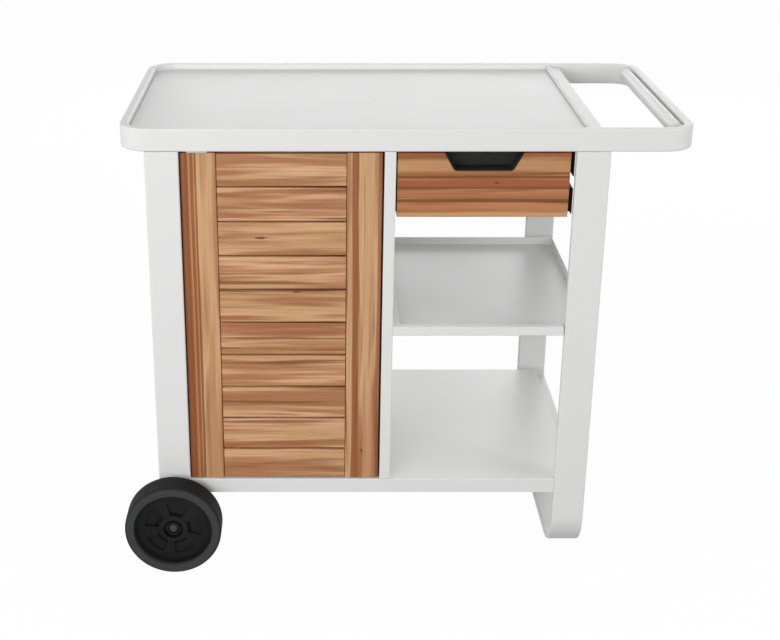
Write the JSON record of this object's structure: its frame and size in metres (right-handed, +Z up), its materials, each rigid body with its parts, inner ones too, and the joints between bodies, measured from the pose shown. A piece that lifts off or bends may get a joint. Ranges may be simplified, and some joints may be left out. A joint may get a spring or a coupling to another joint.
{
  "type": "grill table",
  "caption": "Wheeled grill side table: framed tray top with a push handle, cupboard with a slatted wooden door, drawer with a grip cut-out, and open shelves.",
  "frame": {"origin": "on the floor, under the middle of the table's bounding box", "axes": "+X along the table towards the push handle, +Y towards the back, +Z up"},
  "size_m": [1.027, 0.693, 0.85],
  "materials": {
    "white_metal": "satin white powder coat",
    "white_plastic": "satin white moulded plastic",
    "slat_wood": "oiled hardwood, grain along the slats",
    "stile_wood": "oiled hardwood, upright grain",
    "drawer_wood": "oiled hardwood, grain along the length",
    "black_plastic": "matt black moulded plastic",
    "hub_plastic": "dark grey moulded plastic",
    "tyre_rubber": "dark grey moulded tyre",
    "black_metal": "matt black coated sheet",
    "zinc_steel": "zinc plated"
  },
  "bodies": {
    "cart": {"top_ring": "white_metal", "table_tray": "white_metal", "tray_braces": "white_metal", "handle_crossbar": "white_metal", "handle_tube": "white_metal", "right_leg": "white_metal", "left_leg_front": "white_metal", "left_leg_rear": "white_metal", "side_rail_left": "white_metal", "side_rail_right": "white_metal", "bottom_shelf": "white_metal", "middle_shelf": "white_metal", "shelf_tab": "white_metal", "divider_panel": "white_metal", "cabinet_side": "white_metal", "cabinet_back": "white_metal", "handle_end_caps": "white_plastic", "leg_caps": "black_plastic", "magnet_catch": "black_plastic", "wheel_spacers": "black_plastic", "axle_caps": "black_plastic", "drawer_bracket": "black_metal", "runner_outer_left": "black_metal", "runner_outer_right": "black_metal", "pivot_pin_lower": "zinc_steel", "pivot_pin_upper": "zinc_steel", "axle": "zinc_steel", "rail_screws": "zinc_steel", "tab_screws": "zinc_steel"},
    "door": {"door_stile_left": "stile_wood", "door_stile_right": "stile_wood", "slat_1": "slat_wood", "slat_2": "slat_wood", "slat_3": "slat_wood", "slat_4": "slat_wood", "slat_5": "slat_wood", "slat_6": "slat_wood", "slat_7": "slat_wood", "slat_8": "slat_wood", "slat_9": "slat_wood", "slat_10": "slat_wood", "door_battens": "slat_wood", "batten_screws": "zinc_steel", "pivot_bushes": "black_plastic", "strike_plate": "zinc_steel"},
    "drawer": {"drawer_front": "drawer_wood", "grip_pocket": "black_plastic", "drawer_box": "black_metal", "drawer_back": "black_metal", "drawer_screws": "zinc_steel", "runner_inner_left": "black_metal", "runner_inner_right": "black_metal"},
    "runner_mids": {"runner_mid_left": "black_metal", "runner_mid_right": "black_metal"},
    "wheel_front": {"tyre_front": "tyre_rubber", "hub_front": "hub_plastic"},
    "wheel_rear": {"tyre_rear": "tyre_rubber", "hub_rear": "hub_plastic"}
  },
  "joints": [
    {"name": "door_hinge", "type": "hinge", "parent": "cart", "child": "door", "pos_m": [-0.3605, -0.2625, 0.4865], "axis": [0, 0, -1], "range_deg": [0, 90]},
    {"name": "drawer_slide", "type": "slide", "parent": "cart", "child": "drawer", "axis": [0, -1, 0], "range_m": [0, 0.4]},
    {"name": "runner_slide", "type": "slide", "parent": "cart", "child": "runner_mids", "axis": [0, -1, 0], "range_m": [0, 0.2]},
    {"name": "front_wheel_spin", "type": "hinge", "parent": "cart", "child": "wheel_front", "pos_m": [-0.4225, -0.3205, 0.091], "axis": [0, 1, 0], "continuous": true},
    {"name": "rear_wheel_spin", "type": "hinge", "parent": "cart", "child": "wheel_rear", "pos_m": [-0.4225, 0.3205, 0.091], "axis": [0, 1, 0], "continuous": true}
  ],
  "couplings": [
    {"joint": "runner_slide", "follows": "drawer_slide", "ratio": 0.5}
  ]
}
